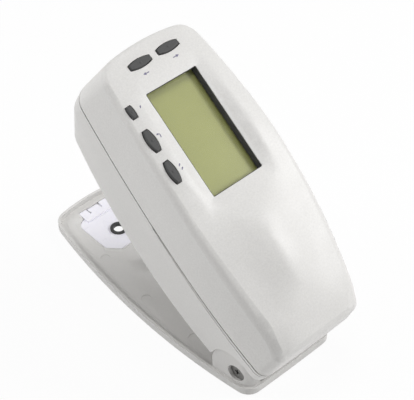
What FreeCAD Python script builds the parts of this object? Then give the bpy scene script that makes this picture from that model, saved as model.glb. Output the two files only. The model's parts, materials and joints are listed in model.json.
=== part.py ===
import FreeCAD, Part
import math
import os

V = FreeCAD.Vector
os.makedirs("parts", exist_ok=True)

# Hand-held reflection densitometer: a palm-shaped instrument hinged near its tail on a flat
# rimmed shoe. Millimetres. +X is the user's right, +Y points at the measuring nose, +Z is up.
# The origin is in the middle of the face that the shoe rests on, under its rubber strip.
# Everything that rides on the hinge is modelled with the instrument closed on the shoe and then
# swung up by OPEN_ANGLE, where its springs hold it.

# ---------------------------------------------------------------- driving dimensions
# shoe
SHOE_TAIL_Y = -93.9
SHOE_NOSE_Y = 91.8
SHOE_HALF_WIDTH = 38.8
SHOE_LIFT = 0.5              # the rubber pads hold the moulding this far off the table
SHOE_FLOOR = 2.2
SHOE_RIM_TOP = 6.2
SHOE_RIM_WALL = 1.7
SHOE_EDGE_ROUND = 0.8

PADS = ((-27.0, -62.0), (27.0, -62.0), (-24.0, 66.0), (24.0, 66.0))
PAD_RADIUS = 4.5
PAD_SUNK = 0.3
EJECTORS = ((-23.0, 44.0), (23.0, 44.0), (-26.5, 1.7), (26.5, 1.7), (-26.5, -40.0), (26.5, -40.0))
EJECTOR_RADIUS = 3.0
EJECTOR_DEPTH = 0.2
STRIP_HALF_LENGTH = 24.0     # the rubber strip across the middle of the shoe's underside
STRIP_HALF_WIDTH = 4.5

# instrument
BODY_TAIL_Y = -94.0
BODY_NOSE_Y = 96.0
WALL = 2.4
PARTING_Z = 43.5             # at Y = 0
PARTING_SLOPE = 1.96         # degrees, rising to the nose
PARTING_GAP = 1.2
PARTING_HALF_WIDTH = SHOE_HALF_WIDTH - 0.2
TONGUE_HEIGHT = 2.4          # lap of the lower half inside the upper half
TONGUE_WALL = 1.2
TONGUE_FIT = 0.15
TONGUE_ROOT = 3.0
REVEAL_SLOPE = 1.3           # the fine reveal line sinks from the parting towards the tail
REVEAL_Y = 8.0               # where it leaves the parting
REVEAL_WIDTH = 0.8
REVEAL_DEPTH = 1.0
UPPER_HALF_WIDTH = PARTING_HALF_WIDTH + 0.3
UPPER_LEVEL = 98.0           # level plane of the upper outline, above all of the deck
SHOULDER_SIDE = 4.0          # radius of the shoulder at the widest place and the nose
SHOULDER_TAIL = 7.4          # and at the tail, where it is softer
HOUSING_BOTTOM = 6.7
HOUSING_KNEE = 33.0          # below this height the nose rakes back

# display
DISPLAY_LENGTH = 64.9
DISPLAY_WIDTH = 35.4
DISPLAY_TAIL_Y = 0.4
DISPLAY_RIM_Z = 82.7         # rim of the opening, at Y = 0
DISPLAY_SLOPE = 3.37         # degrees, rising to the nose
DISPLAY_DEPTH = 4.7
DISPLAY_CORNER = 0.8
BEZEL_RIM = 0.3              # the bezel's top edge is thin, and its sides lean in from there
BEZEL_FIT = 0.12
GLASS_LENGTH = DISPLAY_LENGTH + 0.2
GLASS_WIDTH = DISPLAY_WIDTH - 1.6
WINDOW_PANE = 0.9
LCD_THICK = 2.0
LCD_STANDS_OFF = 1.6          # between the main board and the frame of the display

# deck and palm ridge
CROWN_REACH = 1.3            # beyond this share of the half width the fall stays as it is
CROWN_TAIL = 1.0             # how far the deck rises from its side edges to its middle
CROWN_NOSE = 3.6
CROWN_START = -30.0          # where the tail's flat deck begins to swell, and over what length
CROWN_SWELL = 60.0
RIDGE_HEIGHT = 7.0
RIDGE_X = -2.2               # the ridge runs a little left of the middle
RIDGE_NOSE_SPREAD = 19.0     # broad behind the display and narrower to the tail
RIDGE_TAIL_SPREAD = 13.0
RIDGE_START = -4.0           # where the ridge rises out of the deck, and over what length
RIDGE_RISE = 20.0
RIDGE_END = -45.0            # where it begins to sink back, and over what length
RIDGE_FALL = 42.0
DISH_RIM = 1.0               # level ground round the display before the slope begins
DISH_SIDE = 6.5              # width of the slope beside the display
DISH_NOSE = 6.0

# keys: name, centre X, centre Y, length, width, turned across the body
SIDE_KEYS_X = 7.75 - UPPER_HALF_WIDTH
KEYS = [("key_left", -9.9, 81.2, 15.3, 6.0, True), ("key_right", 9.5, 81.3, 15.3, 6.0, True),
        ("key_short", SIDE_KEYS_X + 0.4, 60.7, 8.1, 4.4, False),
        ("key_upper", SIDE_KEYS_X + 0.3, 42.4, 13.8, 6.1, False),
        ("key_lower", SIDE_KEYS_X, 22.9, 13.8, 5.9, False)]
KEY_END_WIDTH = 3.4
KEY_GAP = 0.5
KEY_RISE = 1.0
KEY_TRAVEL = 0.8
KEY_FLANGE = 0.8
KEY_FLANGE_REACH = 1.2
KEY_FIT = 0.4                # between a key's flange and the cover's wall
PIP_BALL = 1.3
PIP_RISE = 0.3
DOME_HEIGHT = 0.6            # contact domes, which a key's foot meets at the end of its travel
DOME_GAP = 0.1
BOARD = 1.2

# hinge
HINGE_Y = -82.5
HINGE_Z = 13.4
OPEN_ANGLE = 32.7
PIN_RADIUS = 2.5
PIN_FIT = 0.05               # radial running clearance
SCREW_HEAD_RADIUS = 5.3
SCREW_HEAD = 1.9
CROSS_RECESS = 1.9
CROSS_RECESS_WIDTH = 1.0
SCREW_SUNK = 1.3             # the heads lie this far below the ears' faces
BUSH_WALL = 1.1
LUG_WALL = 1.6
LUG_INNER = 22.6
LUG_OUTER = 27.2
SIDE_GAP = 0.3
EAR_INSET = 1.6
EAR_WALL = 2.2
EAR_RADIUS = 17.0            # the ears are round about the pin
EAR_GAP = 0.35
EAR_BOSS = 6.2               # round the screw, inside the ear
EAR_WRAP_X = 23.0            # the ears wrap round the tail corners as far in as this
TAIL_ROLL = 10.0             # radius of the housing's tail about the hinge
SPRING_COIL = 4.4
SPRING_WIRE = 0.7
SPRING_TURNS = 3
SPRING_X = 13.6              # where the coil begins
SPRING_ROOM = 0.6            # round the coil and its foot, in the slot that they hang in

# measuring end
TARGET_Y = 59.0
TARGET_HOLE = 3.1
TARGET_RING = 5.3
WINDOW_HALF = 16.6
WINDOW_TAIL_Y = 44.6
WINDOW_NOSE_Y = 80.0
WINDOW_CORNER = 7.0
WINDOW_BEVEL = 2.6
WINDOW_THICK = 1.0
SNAP_HALF = 10.5
SNAP_NOSE_Y = 85.4
SNAP_SLOT_X = 4.4
WHEEL_Y = 45.0
WHEEL_RADIUS = 17.5
WHEEL_THICK = 1.6
WHEEL_Z = 39.0
FILTER_RADIUS = 2.4
FILTER_COUNT = 12
SHAFT_RADIUS = 1.5
SHAFT_FIT = 0.05
OPTICS_FLOOR = HOUSING_BOTTOM + WALL + 0.2
OPTICS_TOP = 30.0
SNOUT_RADIUS = 8.6
DIODE_HEIGHT = 2.9
LENS_RADIUS = 4.9
LENS_BALL = 16.0
LENS_THICK = 3.2
BRIDGE_Z = WHEEL_Z + WHEEL_THICK + 3.0
BRIDGE_POSTS = ((-15.0, 29.5), (15.0, 29.5), (-15.0, 73.0), (15.0, 73.0))
BOARD_BELOW_DISPLAY = 9.7
MAIN_BOARD_TOP = -DISPLAY_DEPTH - BOARD_BELOW_DISPLAY        # below the display rim plane

# fasteners and power
PILLARS = [(-31.0, -45.0), (31.0, -45.0), (-22.5, 72.0), (22.5, 72.0)]
PILLAR_RADIUS = 3.7
BOSS_RADIUS = 3.2
CASE_SCREW_RADIUS = 1.4
CASE_SCREW_HEAD = 2.6
CASE_SCREW_LENGTH = 18.0
CELL_RADIUS = 7.0
CELL_LENGTH = 44.0
CELL_PITCH = 14.6
CELL_COUNT = 3
BATTERY_Y = -28.0
DOOR_STEP = 2.2
DOOR_GAP = 0.25
DOOR_TAB = 5.0               # radius of the round tab that the door's screw goes through
DOOR_SCREW_HEAD = 2.7
DOOR_SCREW_RADIUS = 1.25
JACK_Z = 26.0
CHARGER_Y = -8.0
CHARGER_RADIUS = 4.2
DATA_Y = 12.0
DATA_HALF = 7.0
DATA_HALF_HEIGHT = 4.2
JACK_FIT = 0.1
JACK_SUNK = 0.6              # the jacks' faces lie this far inside the housing's
LATCH_Y = 16.0
LATCH_DISC = 9.0
LATCH_POST = 2.4
LATCH_BAR_LENGTH = 12.0
LATCH_BAR_WIDTH = 3.8
LATCH_GAP = 0.35


# ---------------------------------------------------------------- small makers
def box(x0, x1, y0, y1, z0, z1):
    return Part.makeBox(x1 - x0, y1 - y0, z1 - z0, V(x0, y0, z0))


def rod(x, y, z0, z1, radius):
    return Part.makeCylinder(radius, z1 - z0, V(x, y, z0))


def cross_rod(x0, x1, y, z, radius):
    return Part.makeCylinder(radius, x1 - x0, V(x0, y, z), V(1, 0, 0))


def rounded_plate(x0, x1, y0, y1, z0, z1, corner):
    block = box(x0, x1, y0, y1, z0, z1)
    upright = [e for e in block.Edges if abs(e.tangentAt(e.FirstParameter).z) > 0.99]
    return block.makeFillet(corner, upright)


def side_prism(profile, x0, x1):
    """Prism along X of a closed wire or polygon of (y, z) points."""
    ring = [V(x0, y, z) for y, z in profile]
    return Part.Face(Part.makePolygon(ring + [ring[0]])).extrude(V(x1 - x0, 0, 0))


def mirrored(shape):
    return shape.mirror(V(0, 0, 0), V(1, 0, 0))


def both_sides(shape):
    return Part.makeCompound([shape, mirrored(shape)])


def swung(shape, angle):
    turned = shape.copy()
    turned.rotate(V(0, HINGE_Y, HINGE_Z), V(1, 0, 0), angle)
    return turned


def joined(shapes):
    result = shapes[0]
    for s in shapes[1:]:
        result = result.fuse(s)
    return result


# ---------------------------------------------------------------- plan outlines
# Every plan is a barrel of ten tangent arcs: one across each end, one in each corner and two
# along each side that meet where the barrel is widest. Offsets only change the radii.
def arc_radius(half_chord, rise):
    """Radius of an arc from its half chord and its rise."""
    return (half_chord ** 2 + rise ** 2) / (2 * rise)


def outline(tail_y, nose_y, wide_y, wide, tail_half, nose_half, tail_r, nose_r, tail_bow, nose_bow):
    return {"wide": wide, "wide_y": wide_y,
            "tail": {"way": -1, "y": tail_y, "corner": tail_r, "end": arc_radius(tail_half, tail_bow),
                     "side": arc_radius(wide_y - tail_y, wide - tail_half)},
            "nose": {"way": 1, "y": nose_y, "corner": nose_r, "end": arc_radius(nose_half, nose_bow),
                     "side": arc_radius(nose_y - wide_y, wide - nose_half)}}


def grown(o, by):
    """The outline moved outwards by a distance, or inwards for a negative one."""
    result = {"wide": o["wide"] + by, "wide_y": o["wide_y"]}
    for name in ("tail", "nose"):
        e = o[name]
        result[name] = {"way": e["way"], "y": e["y"] + e["way"] * by, "corner": e["corner"] + by,
                        "end": e["end"] + by, "side": e["side"] + by}
    return result


def half_width(y, o):
    side = o["tail" if y < o["wide_y"] else "nose"]["side"]
    return o["wide"] - side + math.sqrt(side ** 2 - (y - o["wide_y"]) ** 2)


def corner_points(o, name):
    """Ends and middle of a right corner arc: on the side, on the arc's middle, on the end."""
    e = o[name]
    r = e["corner"]
    side_at = V(o["wide"] - e["side"], o["wide_y"], 0)
    end_at = V(0, e["y"] - e["way"] * e["end"], 0)
    between = end_at - side_at
    reach = between.Length
    along = ((e["side"] - r) ** 2 - (e["end"] - r) ** 2 + reach ** 2) / (2 * reach)
    across = math.sqrt((e["side"] - r) ** 2 - along ** 2)
    ahead = between / reach
    centre = side_at + ahead * along + V(-ahead.y, ahead.x, 0) * across * e["way"]
    on_side = centre + (centre - side_at).normalize() * r
    on_end = centre + (centre - end_at).normalize() * r
    middle = centre + ((on_side + on_end) / 2 - centre).normalize() * r
    return on_side, middle, on_end


def side_middle(o, name, on_side):
    side = o[name]["side"]
    at = V(o["wide"] - side, o["wide_y"], 0)
    angle = math.atan2(on_side.y - at.y, on_side.x - at.x) / 2
    return at + V(side * math.cos(angle), side * math.sin(angle), 0)


def ring(o, level, slope=0.0):
    """Closed wire of an outline on the plane z = level + tan(slope) * y."""
    widest = V(o["wide"], o["wide_y"], 0)
    tail_side, tail_middle, tail_end = corner_points(o, "tail")
    nose_side, nose_middle, nose_end = corner_points(o, "nose")
    right = [(tail_end, tail_middle, tail_side),
             (tail_side, side_middle(o, "tail", tail_side), widest),
             (widest, side_middle(o, "nose", nose_side), nose_side),
             (nose_side, nose_middle, nose_end)]
    left = [tuple(V(-q.x, q.y, 0) for q in reversed(arc)) for arc in reversed(right)]
    across_nose = (nose_end, V(0, o["nose"]["y"], 0), left[0][0])
    across_tail = (left[-1][2], V(0, o["tail"]["y"], 0), tail_end)
    wire = Part.Wire([Part.Arc(*arc).toShape() for arc in right + [across_nose] + left + [across_tail]])
    wire.rotate(V(0, 0, 0), V(1, 0, 0), slope)
    wire.translate(V(0, 0, level))
    return wire


def outline_prism(o, z0, z1):
    return Part.Face(ring(o, z0)).extrude(V(0, 0, z1 - z0))


def lofted(rings):
    """Solid of straight rulings between plan wires."""
    return Part.makeLoft(rings, True, True)


SHOE = outline(SHOE_TAIL_Y, SHOE_NOSE_Y, -22.0, SHOE_HALF_WIDTH, 33.0, 26.2, 9.0, 11.0, 0.4, 3.0)
PARTING = outline(BODY_TAIL_Y, BODY_NOSE_Y, -28.0, PARTING_HALF_WIDTH, 35.0, 32.0, 7.0, 12.0, 0.5, 4.0)
UPPER = outline(BODY_TAIL_Y + 7.0, BODY_NOSE_Y - 4.6, 10.0, UPPER_HALF_WIDTH, 21.6, 31.4, 5.0, 13.0, 0.5, 3.4)
KNEE = outline(BODY_TAIL_Y, BODY_NOSE_Y - 0.4, -28.0, PARTING_HALF_WIDTH - 0.6, 34.4, 30.8,
               8.0, 12.0, 0.5, 4.0)
BOTTOM = outline(BODY_TAIL_Y, BODY_NOSE_Y - 8.0, -22.0, SHOE_HALF_WIDTH - EAR_INSET, 31.4, 25.6,
                 8.0, 12.0, 0.5, 3.6)


# ---------------------------------------------------------------- deck surface
EDGE_LINE = [(-106, 50.6), (-94, 60.0), (-85, 66.4), (-65, 72.2), (-45, 75.9), (-25, 79.0), (-5, 81.4),
             (15, 83.4), (45, 84.4), (75, 84.2), (108, 81.2)]
EDGE_CURVE = Part.BSplineCurve()
EDGE_CURVE.interpolate([V(0, y, z) for y, z in EDGE_LINE])


def edge_height(y):
    """Height of the deck along its side edge, seen from the side an arch."""
    low, high = EDGE_CURVE.FirstParameter, EDGE_CURVE.LastParameter
    for _ in range(30):
        middle = (low + high) / 2
        if EDGE_CURVE.value(middle).y < y:
            low = middle
        else:
            high = middle
    return EDGE_CURVE.value(low).z


def display_rim(y):
    return DISPLAY_RIM_Z + math.tan(math.radians(DISPLAY_SLOPE)) * y


def smooth(t):
    t = min(max(t, 0.0), 1.0)
    return t * t * (3 - 2 * t)


def deck_height(x, y):
    swell = CROWN_TAIL + (CROWN_NOSE - CROWN_TAIL) * smooth((y - CROWN_START) / CROWN_SWELL)
    level = edge_height(y) + swell
    nose_end = DISPLAY_TAIL_Y + DISPLAY_LENGTH
    dish = 1 - smooth((abs(x) - DISPLAY_WIDTH / 2 - DISH_RIM) / DISH_SIDE)
    dish *= 1 - smooth((y - nose_end - DISH_RIM) / DISH_NOSE)
    dish *= 1 - smooth((DISPLAY_TAIL_Y - DISH_RIM - y) / DISH_NOSE)
    narrowing = smooth((RIDGE_START - RIDGE_RISE / 2 - y) / (RIDGE_START - RIDGE_END + RIDGE_FALL / 2))
    spread = RIDGE_NOSE_SPREAD + (RIDGE_TAIL_SPREAD - RIDGE_NOSE_SPREAD) * narrowing
    ridge = RIDGE_HEIGHT * math.exp(-((x - RIDGE_X) / spread) ** 2)
    ridge *= smooth((RIDGE_START - y) / RIDGE_RISE) * (1 - smooth((RIDGE_END - y) / RIDGE_FALL))
    crown = swell * min(abs(x) / half_width(y, UPPER), CROWN_REACH) ** 5
    return level + ridge - crown - dish * (level - display_rim(y))


def below_deck(drop=0.0):
    """Everything under the deck surface, moved down by a distance."""
    across = [-46 + 2.0 * i for i in range(47)]
    along = [-106 + 2.5 * j for j in range(87)]
    surface = Part.BSplineSurface()
    surface.approximate(Points=[[V(x, y, deck_height(x, y) - drop) for x in across] for y in along],
                        DegMin=3, DegMax=5, Continuity=2, Tolerance=0.15)
    return surface.toShape().extrude(V(0, 0, -130))


# ---------------------------------------------------------------- the two shells as solids
def shoulder_radius(y):
    """The shoulder grows softer from the widest place to the tail."""
    share = (UPPER["wide_y"] - y) / (UPPER["wide_y"] - UPPER["tail"]["y"])
    return SHOULDER_SIDE + (SHOULDER_TAIL - SHOULDER_SIDE) * max(0.0, min(share, 1.0))


def cover_block():
    """Skirt up to the deck surface, with the shoulder rounded all the way round."""
    skirt = lofted([ring(PARTING, PARTING_Z, PARTING_SLOPE), ring(UPPER, UPPER_LEVEL)])
    block = skirt.common(below_deck())
    deck = max(block.Faces, key=lambda f: f.CenterOfMass.z)
    sheet = FreeCAD.newDocument("shoulder")
    sharp = sheet.addObject("Part::Feature", "sharp")
    sharp.Shape = block
    rounded = sheet.addObject("Part::Fillet", "rounded")
    rounded.Base = sharp
    rounded.Edges = [(i, shoulder_radius(e.firstVertex().Y), shoulder_radius(e.lastVertex().Y))
                     for i, e in enumerate(block.Edges, 1) if any(e.isSame(d) for d in deck.Edges)]
    sheet.recompute()
    shape = rounded.Shape.copy()
    FreeCAD.closeDocument(sheet.Name)
    return shape


def cover_hollow(inset=WALL):
    low = ring(grown(PARTING, -inset), PARTING_Z, PARTING_SLOPE)
    high = ring(grown(UPPER, -inset), UPPER_LEVEL)
    return lofted([low, high]).common(below_deck(inset + 0.2))


def housing_block(inset=0.0):
    bottom = ring(grown(BOTTOM, -inset), HOUSING_BOTTOM + inset)
    knee = ring(grown(KNEE, -inset), HOUSING_KNEE)
    top = ring(grown(PARTING, -inset), PARTING_Z, PARTING_SLOPE)
    return lofted([bottom, knee, top])


def parting_slab(down, up):
    """The space between two planes parallel to the parting plane."""
    rise = math.tan(math.radians(PARTING_SLOPE))
    ys = (-120.0, 120.0)
    low = [(y, PARTING_Z + rise * y + down) for y in ys]
    high = [(y, PARTING_Z + rise * y + up) for y in reversed(ys)]
    return side_prism(low + high, -60, 60)


def parting_height(y):
    return PARTING_Z + math.tan(math.radians(PARTING_SLOPE)) * y


# ---------------------------------------------------------------- keys
def key_plan(length, width, by, z):
    """Barrel-shaped key outline, long way along Y, grown by a distance."""
    h = length / 2 + by
    w = width / 2 + by
    e = KEY_END_WIDTH / 2 + by
    right = Part.Arc(V(e, -h, z), V(w, 0, z), V(e, h, z)).toShape()
    left = Part.Arc(V(-e, h, z), V(-w, 0, z), V(-e, -h, z)).toShape()
    top = Part.makeLine(V(e, h, z), V(-e, h, z))
    low = Part.makeLine(V(-e, -h, z), V(e, -h, z))
    return Part.Face(Part.Wire([right, top, left, low]))


def at_key(shape, key):
    placed = shape.copy()
    if key[5]:
        placed.rotate(V(0, 0, 0), V(0, 0, 1), 90)
    placed.translate(V(key[1], key[2], 0))
    return placed


def key_board_top():
    lowest = min(deck_height(k[1], k[2]) for k in KEYS)
    return lowest - WALL - 0.6 - KEY_FLANGE - key_foot_height()


def key_foot_height():
    """Height of a resting key's foot above the board."""
    return DOME_HEIGHT + DOME_GAP + KEY_TRAVEL


def key_hole(key):
    return at_key(key_plan(key[3], key[4], 0.0, key_board_top()).extrude(V(0, 0, 30)), key)


def key_cap(key):
    top = deck_height(key[1], key[2]) + KEY_RISE
    foot = key_board_top() + key_foot_height()
    cap = key_plan(key[3], key[4], -KEY_GAP, foot).extrude(V(0, 0, top - foot))
    rim = [e for e in cap.Edges if e.BoundBox.ZMin > top - 0.01]
    cap = cap.makeFillet(0.7, rim)
    flange = key_plan(key[3] + 2 * KEY_FLANGE_REACH, key[4], -KEY_GAP, foot).extrude(V(0, 0, KEY_FLANGE))
    flange = at_key(flange, key).common(cover_hollow(WALL + KEY_FIT))
    pip = Part.makeSphere(PIP_BALL, V(0, 0, top + PIP_RISE - PIP_BALL))
    return joined([at_key(cap.fuse(pip), key), flange]).removeSplitter()


def key_dome(key):
    z = key_board_top()
    wide = min(key[4] / 2, 3.0)
    dome = Part.makeCone(wide, wide - 0.9, DOME_HEIGHT, V(0, 0, z))
    return at_key(dome, key)


# ---------------------------------------------------------------- display stack
def on_display(shape):
    """Places a shape made with z = 0 on the display rim plane."""
    placed = shape.copy()
    placed.rotate(V(0, 0, 0), V(1, 0, 0), DISPLAY_SLOPE)
    placed.translate(V(0, 0, DISPLAY_RIM_Z))
    return placed


DISPLAY_MID_Y = DISPLAY_TAIL_Y + DISPLAY_LENGTH / 2


def display_block(width, length, z0, z1, corner):
    y0 = DISPLAY_MID_Y - length / 2
    return rounded_plate(-width / 2, width / 2, y0, y0 + length, z0, z1, corner)


def display_opening():
    return on_display(display_block(DISPLAY_WIDTH, DISPLAY_LENGTH, -20, 20, DISPLAY_CORNER))


def make_display_bezel():
    width = DISPLAY_WIDTH - 2 * BEZEL_FIT
    length = DISPLAY_LENGTH - 2 * BEZEL_FIT
    outer = display_block(width, length, -DISPLAY_DEPTH, -0.4, DISPLAY_CORNER)
    outer = outer.fuse(display_block(width, length + 3, -DISPLAY_DEPTH, -WALL - 1.0, DISPLAY_CORNER))
    flange = display_block(width + 5, length + 5, -WALL - 1.9, -WALL - 0.7, 2.0)
    mouth = Part.makeLoft([display_wire(GLASS_WIDTH, GLASS_LENGTH, -DISPLAY_DEPTH - 0.01),
                           display_wire(width - 2 * BEZEL_RIM, length - 2 * BEZEL_RIM, 0.01)], True, True)
    return on_display(outer.fuse(flange).cut(mouth))


def display_wire(width, length, z):
    x, y = width / 2, length / 2
    ring_points = [V(px, DISPLAY_MID_Y + py, z) for px, py in ((-x, -y), (x, -y), (x, y), (-x, y))]
    return Part.makePolygon(ring_points + [ring_points[0]])


def make_display_window():
    top = -DISPLAY_DEPTH - 0.1
    return on_display(display_block(GLASS_WIDTH + 3, GLASS_LENGTH + 3, top - WINDOW_PANE, top, 1.0))


def make_lcd_glass():
    top = -DISPLAY_DEPTH - WINDOW_PANE - 0.2
    return on_display(display_block(GLASS_WIDTH + 1.4, GLASS_LENGTH + 1.4, top - LCD_THICK, top, 0.6))


def make_lcd_frame():
    top = -DISPLAY_DEPTH - WINDOW_PANE - 0.3
    outer = display_block(GLASS_WIDTH + 4, GLASS_LENGTH + 5, MAIN_BOARD_TOP + LCD_STANDS_OFF, top, 1.0)
    pocket = display_block(GLASS_WIDTH + 1.6, GLASS_LENGTH + 1.6, top - LCD_THICK - 0.2, top + 1, 0.7)
    return on_display(outer.cut(pocket))


# ---------------------------------------------------------------- shoe
def window_outline(by, z):
    """Window in the shoe's nose: straight sides, cut tail corners, round nose corners."""
    x = WINDOW_HALF + by
    tail = WINDOW_TAIL_Y - by
    nose = WINDOW_NOSE_Y + by
    c = WINDOW_CORNER
    k = c * (1 - math.sqrt(0.5))
    right = [Part.makeLine(V(x - c, tail, z), V(x, tail + c, z)),
             Part.makeLine(V(x, tail + c, z), V(x, nose - c, z)),
             Part.Arc(V(x, nose - c, z), V(x - k, nose - k, z), V(x - c, nose, z)).toShape()]
    left = [Part.makeLine(V(-x + c, tail, z), V(-x, tail + c, z)),
            Part.makeLine(V(-x, tail + c, z), V(-x, nose - c, z)),
            Part.Arc(V(-x, nose - c, z), V(-x + k, nose - k, z), V(-x + c, nose, z)).toShape()]
    ends = [Part.makeLine(V(-x + c, tail, z), V(x - c, tail, z)),
            Part.makeLine(V(x - c, nose, z), V(-x + c, nose, z))]
    return Part.Wire(Part.__sortEdges__(right + ends + left))


def shoe_floor_top():
    return SHOE_LIFT + SHOE_FLOOR


def ear_side(by, x0, x1):
    """Side view of an ear as a solid: round about the pin, with an upright front below it."""
    disc = cross_rod(x0, x1, HINGE_Y, HINGE_Z, EAR_RADIUS + by)
    foot = box(x0, x1, HINGE_Y - 30, HINGE_Y + EAR_RADIUS + by, SHOE_LIFT + 0.5, HINGE_Z)
    return disc.fuse(foot)


def ear():
    """Right ear: a wall that follows the outline round the tail corner, with a round boss."""
    skin = outline_prism(grown(SHOE, -EAR_INSET), SHOE_LIFT + 0.5, 40)
    core = outline_prism(grown(SHOE, -EAR_INSET - EAR_WALL), SHOE_LIFT + 0.4, 41)
    wall = skin.cut(core).common(ear_side(0, EAR_WRAP_X, 60))
    boss = cross_rod(LUG_OUTER + SIDE_GAP, 60, HINGE_Y, HINGE_Z, EAR_BOSS).common(skin)
    return wall.fuse(boss)


def ear_face_x():
    """Outer face of the ear at the hinge."""
    return half_width(HINGE_Y, grown(SHOE, -EAR_INSET))


def counterbore_x():
    return ear_face_x() - SCREW_HEAD - SCREW_SUNK


def make_shoe_base():
    tray = outline_prism(SHOE, SHOE_LIFT, SHOE_RIM_TOP)
    low_edge = [e for e in tray.Edges if e.BoundBox.ZMax < SHOE_LIFT + 0.01]
    tray = tray.makeFillet(SHOE_EDGE_ROUND, low_edge)
    tray = tray.cut(outline_prism(grown(SHOE, -SHOE_RIM_WALL), shoe_floor_top(), 30))
    right = ear()
    base = joined([tray, right, mirrored(right)])
    for side in (1, -1):
        x0, x1 = sorted((side * (LUG_OUTER - 1), side * 50))
        base = base.cut(cross_rod(x0, x1, HINGE_Y, HINGE_Z, PIN_RADIUS + PIN_FIT))
        x0, x1 = sorted((side * counterbore_x(), side * 50))
        base = base.cut(cross_rod(x0, x1, HINGE_Y, HINGE_Z, SCREW_HEAD_RADIUS + 0.2))
    seat = Part.makeLoft([window_outline(0.3, SHOE_LIFT + WINDOW_THICK + 0.2),
                          window_outline(WINDOW_BEVEL, shoe_floor_top() + 0.01)], True, True)
    through = Part.Face(window_outline(0.3, 0)).extrude(V(0, 0, 4))
    snap = box(-SNAP_HALF - 0.3, SNAP_HALF + 0.3, WINDOW_NOSE_Y - 4, SNAP_NOSE_Y + 0.3, 0, 4)
    latch = rod(0, LATCH_Y, 0, 2.0 + SHOE_LIFT - 0.6, LATCH_DISC + LATCH_GAP)
    post = rod(0, LATCH_Y, 0, 10, LATCH_POST + PIN_FIT)
    base = base.cut(joined([seat, through, snap, latch, post]))
    for x, y in EJECTORS:
        base = base.cut(rod(x, y, shoe_floor_top() - EJECTOR_DEPTH, shoe_floor_top() + 1, EJECTOR_RADIUS))
    return base


def make_target_window():
    z0 = SHOE_LIFT
    pane = Part.Face(window_outline(0, z0)).extrude(V(0, 0, WINDOW_THICK))
    snap = box(-SNAP_HALF, SNAP_HALF, WINDOW_NOSE_Y - 4, SNAP_NOSE_Y, z0, z0 + 2.0)
    tongue_step = box(-SNAP_SLOT_X + 0.6, SNAP_SLOT_X - 0.6, SNAP_NOSE_Y - 3.4, SNAP_NOSE_Y, z0 + 1.4, z0 + 3)
    pane = pane.fuse(snap).cut(tongue_step)
    for x in (-SNAP_SLOT_X, SNAP_SLOT_X):
        pane = pane.cut(box(x - 0.6, x + 0.6, WINDOW_NOSE_Y + 0.6, SNAP_NOSE_Y + 1, z0 - 1, z0 + 4))
    return pane.cut(rod(0, TARGET_Y, 0, 5, TARGET_HOLE + 1.0)).removeSplitter()


def make_target_ring():
    top = SHOE_LIFT + WINDOW_THICK
    collar = rod(0, TARGET_Y, SHOE_LIFT, top + 0.1, TARGET_HOLE + 0.95)
    flange = rod(0, TARGET_Y, top + 0.05, top + 0.9, TARGET_RING)
    bore = Part.makeCone(TARGET_HOLE, TARGET_HOLE + 0.5, 4, V(0, TARGET_Y, SHOE_LIFT - 0.5))
    return collar.fuse(flange).cut(bore)


def shoe_pads(by=0.0, sunk=PAD_SUNK):
    """Four round rubber feet and a strip across the middle, grown for their seats."""
    top = SHOE_LIFT + sunk
    pads = [rod(x, y, 0, top, PAD_RADIUS + by) for x, y in PADS]
    x, y = STRIP_HALF_LENGTH + by, STRIP_HALF_WIDTH + by
    return pads + [rounded_plate(-x, x, -y, y, 0, top, 2.0 + by)]


def make_shoe_pads():
    return Part.makeCompound(shoe_pads())


def cut_pad_seats(base):
    for seat in shoe_pads(0.1, PAD_SUNK + 0.05):
        base = base.cut(seat)
    return base


def make_open_stop():
    z = shoe_floor_top()
    return rounded_plate(-16, 16, HINGE_Y - 5.5, HINGE_Y - 0.5, z, z + 0.35, 1.5)


def make_hinge_screws():
    head_x = counterbore_x()
    head = cross_rod(head_x, head_x + SCREW_HEAD, HINGE_Y, HINGE_Z, SCREW_HEAD_RADIUS)
    rim = [e for e in head.Edges if e.BoundBox.XMin > head_x + SCREW_HEAD - 0.01 and e.Closed]
    head = head.makeChamfer(0.4, rim)
    shank = cross_rod(12.5, head_x + 0.1, HINGE_Y, HINGE_Z, PIN_RADIUS)
    reach, half = CROSS_RECESS, CROSS_RECESS_WIDTH / 2
    low_x = head_x + SCREW_HEAD - 1.4
    for y, z in ((reach, half), (half, reach)):
        head = head.cut(box(low_x, head_x + 4, HINGE_Y - y, HINGE_Y + y, HINGE_Z - z, HINGE_Z + z))
    return both_sides(head.fuse(shank))


def latch_bar(by, z0, z1):
    """The latch's cross bar, grown by a distance for the slot that it passes through."""
    x, y = LATCH_BAR_WIDTH / 2 + by, LATCH_BAR_LENGTH / 2 + by
    return rounded_plate(-x, x, LATCH_Y - y, LATCH_Y + y, z0, z1, 1.2 + by)


def make_shoe_latch():
    disc = rod(0, LATCH_Y, SHOE_LIFT - 0.2, SHOE_LIFT + 1.1, LATCH_DISC)
    slot = box(-6.5, 6.5, LATCH_Y - 1.0, LATCH_Y + 1.0, 0, SHOE_LIFT + 0.5)
    head_z = HOUSING_BOTTOM + WALL + 0.5
    post = rod(0, LATCH_Y, SHOE_LIFT + 0.5, head_z + 0.5, LATCH_POST)
    return joined([disc.cut(slot), post, latch_bar(0, head_z, head_z + 2.0)])


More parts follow.
